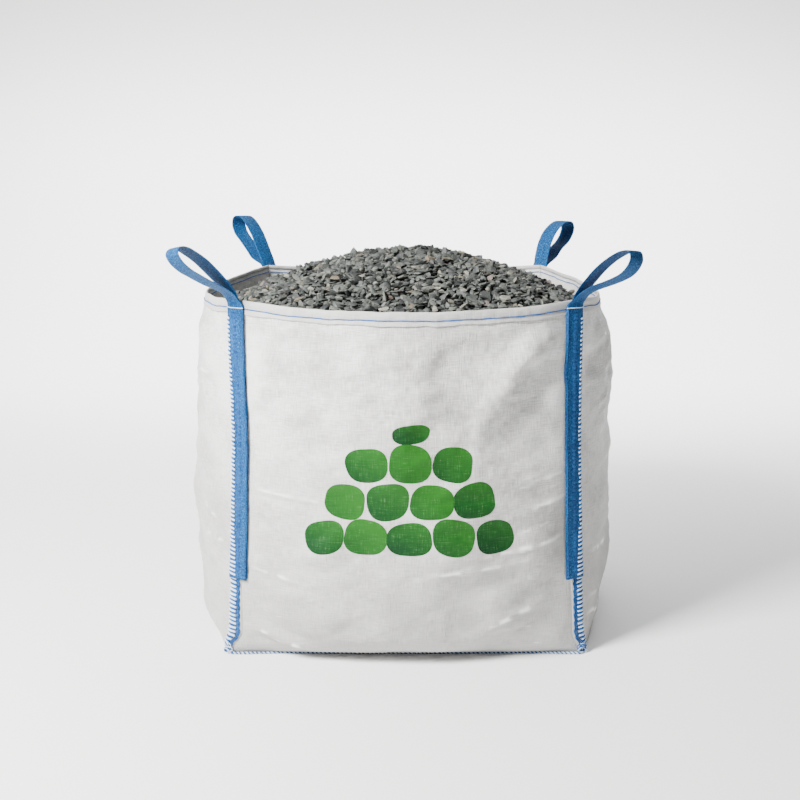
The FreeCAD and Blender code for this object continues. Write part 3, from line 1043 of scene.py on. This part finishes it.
def foot_seam(name):
    """The sewn edges along the foot of a panel."""
    rows = []
    spread = foot_spread(np.linspace(-1, 1, FOOT_COLUMNS))[:, None]
    for out, height in ((0.001, 0.0011), (0.003, 0.0014), (0.006, 0.0015), (0.009, 0.0014), (0.0115, 0.0011)):
        line = foot_line(name, out * spread)
        line[:, 2] = height
        rows.append(line)
    outer = np.array(rows)
    inner = outer.copy()
    inner[:, :, 2] = 0.0003
    along = np.linspace(0, 2 * HALF_PANEL, FOOT_COLUMNS)
    across = np.linspace(0, 0.02, len(rows))
    uv = np.stack(np.broadcast_arrays(along[None, :], across[:, None]), -1)
    piece = cloth_piece("foot_seam_" + name, outer, inner, uv)
    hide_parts("bottom_seam_" + name)


def foot_overlock(name):
    """The threads wrapped over the sewn edges along the foot of a panel, pale and blue in turn."""
    rng = np.random.default_rng(12)
    edge = foot_line(name, 0.0, 401)
    run = run_along(edge)
    share = np.linspace(0, 1, 9)
    for kind, phase, finish in (("pale", 0.0, PALE_THREAD), ("blue", 0.5, BLUE_THREAD)):
        parts = []
        for start in np.arange(0.002 + phase * OVERLOCK_PITCH, run[-1] - 0.012, OVERLOCK_PITCH):
            where = start + (0.006 + 0.001 * rng.standard_normal()) * share
            base = np.stack([np.interp(where, run, edge[:, k]) for k in range(3)], -1)
            spread = foot_spread(2 * start / run[-1] - 1)
            path = base + outwards_of(name) * ((0.004 + 0.0105 * share) * spread)[:, None]
            path[:, 2] = 0.0026 + 0.0009 * np.sin(math.pi * share) ** 0.5 - 0.0012 * share ** 5
            parts.append(tube(path, 0.0013))
        piece = thread_piece("foot_overlock_" + kind + "_" + name, parts, finish)
        if kind == "pale":
            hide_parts("bottom_overlock_" + name)


# ---------------------------------------------------------------- the heap of crushed stone
def heap_height(x, y):
    """The top of the stone at a place in plan."""
    hit = trees["aggregate_fill"].ray_cast(Vector((x, y, 2.0)), Vector((0, 0, -1)))[0]
    return hit.z if hit is not None else None


def chip(rng):
    """One angular chip of stone: a ball cut flat by random planes."""
    count, planes = 34, 10
    index = np.arange(count) + 0.5
    polar = np.arccos(1 - 2 * index / count)
    turn = math.pi * (1 + 5 ** 0.5) * index
    directions = np.stack([np.cos(turn) * np.sin(polar), np.sin(turn) * np.sin(polar), np.cos(polar)], -1)
    directions = unit(directions + rng.normal(0, 0.12, directions.shape))
    normals = unit(rng.normal(0, 1, (planes, 3)))
    depth = rng.uniform(0.50, 0.88, planes)
    reach = np.full(count, 1.12)
    facing = directions @ normals.T
    for k in range(planes):
        cut = facing[:, k] > 0.2
        reach[cut] = np.minimum(reach[cut], depth[k] / facing[cut, k])
    shape = bmesh.new()
    for point in directions * reach[:, None]:
        shape.verts.new(point)
    bmesh.ops.convex_hull(shape, input=shape.verts)
    bmesh.ops.dissolve_limit(shape, angle_limit=math.radians(9), verts=shape.verts, edges=shape.edges)
    loose = [vertex for vertex in shape.verts if not vertex.link_faces]
    bmesh.ops.delete(shape, geom=loose, context="VERTS")
    bmesh.ops.triangulate(shape, faces=shape.faces)
    shape.verts.ensure_lookup_table()
    points = np.array([vertex.co for vertex in shape.verts])
    faces = np.array([[vertex.index for vertex in face.verts] for face in shape.faces])
    shape.free()
    return points, faces


def turns_about(axis, angles):
    """Rotation matrices about the x axis or the z axis."""
    cos, sin = np.cos(angles), np.sin(angles)
    zero, one = np.zeros(len(angles)), np.ones(len(angles))
    rows = {
        "x": [one, zero, zero, zero, cos, -sin, zero, sin, cos],
        "z": [cos, -sin, zero, sin, cos, zero, zero, zero, one],
    }
    return np.stack(rows[axis], -1).reshape(-1, 3, 3)


def resting_turns(rng, count):
    """Rotations of chips that lie more or less flat, as matrices."""
    yaw = rng.uniform(0, 2 * math.pi, count)
    tilt = rng.normal(0, math.radians(38), count)
    spin = rng.uniform(0, 2 * math.pi, count)
    return turns_about("z", yaw) @ turns_about("x", tilt) @ turns_about("z", spin)


def stone_places(rng, spacing, depth, sunk):
    """Places on the heap, spread evenly with jitter, and how big each stone is."""
    reach = cad_high.x
    rows = np.arange(-reach, reach, spacing * 0.87)
    places, sizes = [], []
    for k, y in enumerate(rows):
        for x in np.arange(-reach, reach, spacing) + (k % 2) * spacing / 2:
            px, py = np.array([x, y]) + rng.uniform(-0.4, 0.4, 2) * spacing
            top = heap_height(px, py)
            if top is None or top < FILL_HEIGHT - 0.02:
                continue
            lump = 0.007 * lattice_noise(px, py, 0.075, 41) + 0.004 * lattice_noise(px, py, 0.03, 42)
            lump = lump - SIDE_SLUMP * (math.hypot(px, py) / reach) ** 2
            places.append((px, py, top + lump - sunk + rng.uniform(-depth, depth)))
            sizes.append(np.clip(rng.lognormal(math.log(0.0100), 0.28), 0.0055, 0.0175))
    return np.array(places), np.array(sizes)


def aggregate():
    """The loose chips of the heap's surface, in two layers."""
    rng = np.random.default_rng(2024)
    chips = [chip(rng) for _ in range(28)]
    top_places, top_sizes = stone_places(rng, GRAVEL_SPACING, 0.004, 0.009)
    low_places, low_sizes = stone_places(rng, GRAVEL_SPACING * 1.2, 0.004, 0.019)
    places = np.concatenate([top_places, low_places])
    sizes = np.concatenate([top_sizes, low_sizes])
    count = len(places)
    turns = resting_turns(rng, count)
    proportions = ((1.0, 1.4), (0.75, 1.1), (0.32, 0.62))
    stretch = np.stack([rng.uniform(low, high, count) for low, high in proportions], -1)
    tints = rng.uniform(0, 1, count)
    kinds = rng.integers(0, len(chips), count)
    sizes = fitting_sizes(places, sizes)
    stones_in_piece = 2600
    chosen = np.flatnonzero(sizes > SMALLEST_STONE)
    for number, start in enumerate(range(0, len(chosen), stones_in_piece)):
        points, faces, tint, base = [], [], [], 0
        for k in chosen[start:start + stones_in_piece]:
            local, local_faces = chips[kinds[k]]
            stone = (local * stretch[k] * sizes[k]) @ turns[k].T + places[k]
            points.append(stone)
            faces.append(local_faces + base)
            tint.append(np.full(len(stone), tints[k]))
            base += len(stone)
        piece = make_piece(
            f"crushed_stones_{number}", np.concatenate(points), np.concatenate(faces), STONE,
            smooth=False, values={"tint": np.concatenate(tint)},
        )


def panel_at(angle):
    """The panel that faces a direction in degrees, and how far across it the direction is."""
    for name, (_, degrees) in PANELS.items():
        across = ((angle - degrees + 180) % 360 - 180) / 45
        if abs(across) <= 1:
            return name, across
    return "front", 1.0


def wall_distances(angles, heights):
    """How far the cloth's inner face is from the bag's axis, for a table of directions and heights."""
    table = np.zeros((len(angles), len(heights)))
    for row, angle in enumerate(angles):
        name, across = panel_at(angle)
        height = np.minimum(heights, rim_at(across) - 0.001)
        points = skin(name, across, height, -0.003)
        table[row] = np.hypot(points[:, 0], points[:, 1])
    return table


def fitting_sizes(places, sizes):
    """The stones' sizes, smaller beside a panel so that none pokes through it."""
    step = 1.5
    angles = np.arange(0, 360, step)
    heights = np.linspace(0.70, rim_height, 37)
    table = wall_distances(angles, heights)
    angle = np.degrees(np.arctan2(places[:, 1], places[:, 0])) % 360
    row = np.round(angle / step).astype(int) % len(angles)
    column = np.searchsorted(heights, places[:, 2]).clip(0, len(heights) - 1)
    room = table[row, column] - np.hypot(places[:, 0], places[:, 1]) - 0.0035
    longest_chip = 1.55
    return np.minimum(sizes, room / longest_chip)


def bed_row(ring, around):
    """One ring of the bed's surface: 1 is beside the panels, 0 is the middle of the heap."""
    row = []
    for angle in np.linspace(0, 2 * math.pi, around, endpoint=False):
        name, across = panel_at(math.degrees(angle))
        edge = smooth_skin(name, np.array([across]), np.array([FILL_HEIGHT]))[0]
        x, y = edge[0] * (0.945 * ring), edge[1] * (0.945 * ring)
        top = heap_height(x, y)
        lump = 0.004 * lattice_noise(x, y, 0.02, 43) - SIDE_SLUMP * (math.hypot(x, y) / cad_high.x) ** 2
        row.append((x, y, (top if top is not None else FILL_HEIGHT) - 0.024 + lump))
    return row


def stone_bed():
    """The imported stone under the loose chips: a rough heap that closes the bag."""
    rings, around = 60, 180
    rows = np.array([bed_row(ring, around) for ring in np.linspace(1, 0, rings)])
    levels = []
    for height, scale in ((0.03, 0.80), (0.10, 0.93), (0.30, 0.96), (0.60, 0.96)):
        level = rows[0].copy()
        level[:, :2] *= scale
        level[:, 2] = height
        levels.append(level)
    grid = np.concatenate([np.array(levels), rows[:-1]])
    points = np.concatenate([grid.reshape(-1, 3), rows[-1].mean(0, keepdims=True)])
    faces = grid_faces(len(grid), around, close_columns=True).tolist()
    last = (len(grid) - 1) * around
    faces += [[last + k, last + (k + 1) % around, len(points) - 1] for k in range(around)]
    faces.append(list(range(around))[::-1])
    piece = make_piece("stone_bed", points, faces, STONE, values={"tint": np.full(len(points), 0.30)})
    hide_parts("aggregate_fill")


# ---------------------------------------------------------------- print
# A heap of rounded pebbles: middle (across, up), half width, half height, turn in degrees, tint
PEBBLES = [
    (-0.198, 0.330, 0.048, 0.040, 8, 0.35),
    (-0.098, 0.334, 0.051, 0.044, -6, 0.75),
    (0.008, 0.331, 0.053, 0.041, 4, 0.30),
    (0.114, 0.335, 0.051, 0.045, -9, 0.60),
    (0.216, 0.330, 0.048, 0.040, 6, 0.25),
    (-0.148, 0.419, 0.050, 0.042, -8, 0.85),
    (-0.044, 0.422, 0.052, 0.045, 5, 0.45),
    (0.062, 0.420, 0.052, 0.042, -4, 0.80),
    (0.166, 0.421, 0.050, 0.043, 9, 0.40),
    (-0.094, 0.509, 0.050, 0.041, 7, 0.50),
    (0.010, 0.513, 0.052, 0.045, -5, 0.90),
    (0.114, 0.508, 0.050, 0.041, -8, 0.55),
    (0.012, 0.583, 0.046, 0.022, 3, 0.35),
]


def front_print():
    """The printed pebbles, on the front panel's cloth."""
    around, rings = 56, 7
    squareness = 2.6
    angle = np.linspace(0, 2 * math.pi, around, endpoint=False)
    cos, sin = np.cos(angle), np.sin(angle)
    squared = (np.abs(cos) ** squareness + np.abs(sin) ** squareness) ** (1 / squareness)
    share = np.linspace(1, 0.02, rings)[:, None]
    points, faces, uvs, tints = [], [], [], []
    for number, (x, z, half_width, half_height, turn, tint) in enumerate(PEBBLES):
        start = number * rings * around
        outline = (1 + 0.03 * np.sin(2 * angle + number) + 0.025 * np.sin(3 * angle + 2.1 * number)) / squared
        local_x = half_width * outline * cos * share
        local_z = half_height * outline * sin * share
        turned = math.radians(turn)
        px = x + local_x * math.cos(turned) - local_z * math.sin(turned)
        pz = z + local_x * math.sin(turned) + local_z * math.cos(turned)
        across = px / HALF_PANEL
        points.append(skin("front", across, pz, 0.0002).reshape(-1, 3))
        faces += grid_faces(rings, around, close_columns=True, start=start).tolist()
        faces.append([start + (rings - 1) * around + k for k in range(around)])
        uvs.append(cloth_uv(across, pz))
        slope = (local_x * 0.6 + local_z) / half_height
        tints.append((tint * 0.55 + 0.22 + 0.16 * slope).ravel())
    make_piece(
        "front_print", np.concatenate(points), faces, INK,
        uv=np.concatenate(uvs), values={"tint": np.clip(np.concatenate(tints), 0, 1)},
    )


# ---------------------------------------------------------------- build
front_cloth = end_panel("front")
back_cloth = end_panel("back")
body_cloth_piece = body_cloth()
hems = {name: hem(name) for name in PANELS}
for name in PANELS:
    hem_stitches(name)
for corner in CORNERS:
    corner_fin(corner)
    wraps = overlock(corner, "pale", 0.0, 0.0024, PALE_THREAD, 0.001, 0.0200)
    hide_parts("corner_overlock_" + corner)
    overlock(corner, "blue", 0.5, 0.0021, BLUE_THREAD, 0.0, 0.0195)
    needle_line(corner, "inner_row", -0.0080, 0.0016, BLUE_THREAD)
    needle_line(corner, "middle_row", -0.0045, 0.0017, SEAM_THREAD)
    needle_line(corner, "outer_row", -0.0010, 0.0014, BLUE_THREAD)
    tuft(corner)
    strap(corner)
    strap_stitches(corner)
for name in ("front", "back"):
    foot_seam(name)
    foot_overlock(name)
stone_bed()
aggregate()
front_print()


# ---------------------------------------------------------------- floor, light and camera
def backdrop():
    """A pale floor that sweeps up into a wall, with painted shade darkening the wall towards its top."""
    bend_start, bend_radius, columns = 3.2, 2.2, 9
    profile = [(-9.0, 0.0), (bend_start, 0.0)]
    for turn in np.linspace(0.1, math.pi / 2, 12):
        across, up = bend_radius * math.sin(turn), bend_radius - bend_radius * math.cos(turn)
        profile.append((bend_start + across, up))
    profile.append((bend_start + bend_radius, 9.0))
    rows = [[(x, y, z) for x in np.linspace(-12, 12, columns)] for y, z in profile]
    nodes = Nodes("studio_floor")
    place = nodes.add("TexCoord").outputs["Object"]
    tone = nodes.noise(place, 0.6, 2.0)
    base = nodes.mix(tone, colour(0.90, 0.90, 0.90), colour(0.93, 0.93, 0.93))
    # Painted shade: the wall is darkened towards its top.
    up = nodes.add("SeparateXYZ", None, Vector=place).outputs[2]
    base = nodes.mix(nodes.ramp(up, 1.0, 2.5), base, colour(0.50, 0.50, 0.50))
    finish = nodes.finish(base, 0.7, nodes.bump(nodes.noise(place, 300.0), 0.0002, 0.2))
    floor = make_piece("studio_floor", rows, grid_faces(len(rows), columns), finish, body=None)


def area_light(name, place, target, size, power, tint):
    """A soft rectangular lamp that shines from its place towards its target."""
    lamp = bpy.data.lights.new(name, "AREA")
    lamp.shape = "RECTANGLE"
    lamp.size, lamp.size_y = size
    lamp.energy = power
    lamp.color = tint
    holder = bpy.data.objects.new(name, lamp)
    holder.location = place
    holder.rotation_euler = (Vector(target) - Vector(place)).to_track_quat("-Z", "Y").to_euler()
    bpy.context.scene.collection.objects.link(holder)


# Each light: name, place, target, size, watts, tint
LIGHTS = [
    ("key", (-2.45, -2.25, 2.9), (0, 0, 0.55), (1.3, 1.3), 700, (1, 0.995, 0.985)),
    ("fill", (3.0, -3.2, 1.6), (0, 0, 0.5), (2.5, 2.5), 3, (0.97, 0.985, 1)),
    ("top", (1.3, 0.9, 4.3), (0, 0, 0.6), (3.0, 3.0), 80, (1, 1, 1)),
    ("wall", (0, 3.0, 2.5), (0, 4.3, 0.0), (7.0, 1.2), 520, (1, 1, 1)),
]
CAMERA_PLACE = (-0.014, -3.354, 1.246)
CAMERA_PITCH = 11.72         # degrees below level
LENS = 56.06                 # millimetres, for a picture 36 mm wide

backdrop()
for light in LIGHTS:
    area_light(*light)
world = bpy.data.worlds.new("studio")
world.use_nodes = True
surround = world.node_tree.nodes["Background"]
surround.inputs[0].default_value = (0.97, 0.98, 1.0, 1)
seen = world.node_tree.nodes.new("ShaderNodeLightPath")
strength = world.node_tree.nodes.new("ShaderNodeMapRange")
strength.inputs[3].default_value = 0.13      # as light
strength.inputs[4].default_value = 0.70      # as the pale room behind the floor
world.node_tree.links.new(seen.outputs["Is Camera Ray"], strength.inputs[0])
world.node_tree.links.new(strength.outputs[0], surround.inputs[1])
bpy.context.scene.world = world

lens = bpy.data.cameras.new("camera")
lens.lens = LENS
lens.sensor_width = 36
camera = bpy.data.objects.new("camera", lens)
camera.location = CAMERA_PLACE
camera.rotation_euler = (math.radians(90 - CAMERA_PITCH), 0, 0)
bpy.context.scene.collection.objects.link(camera)
bpy.context.scene.camera = camera
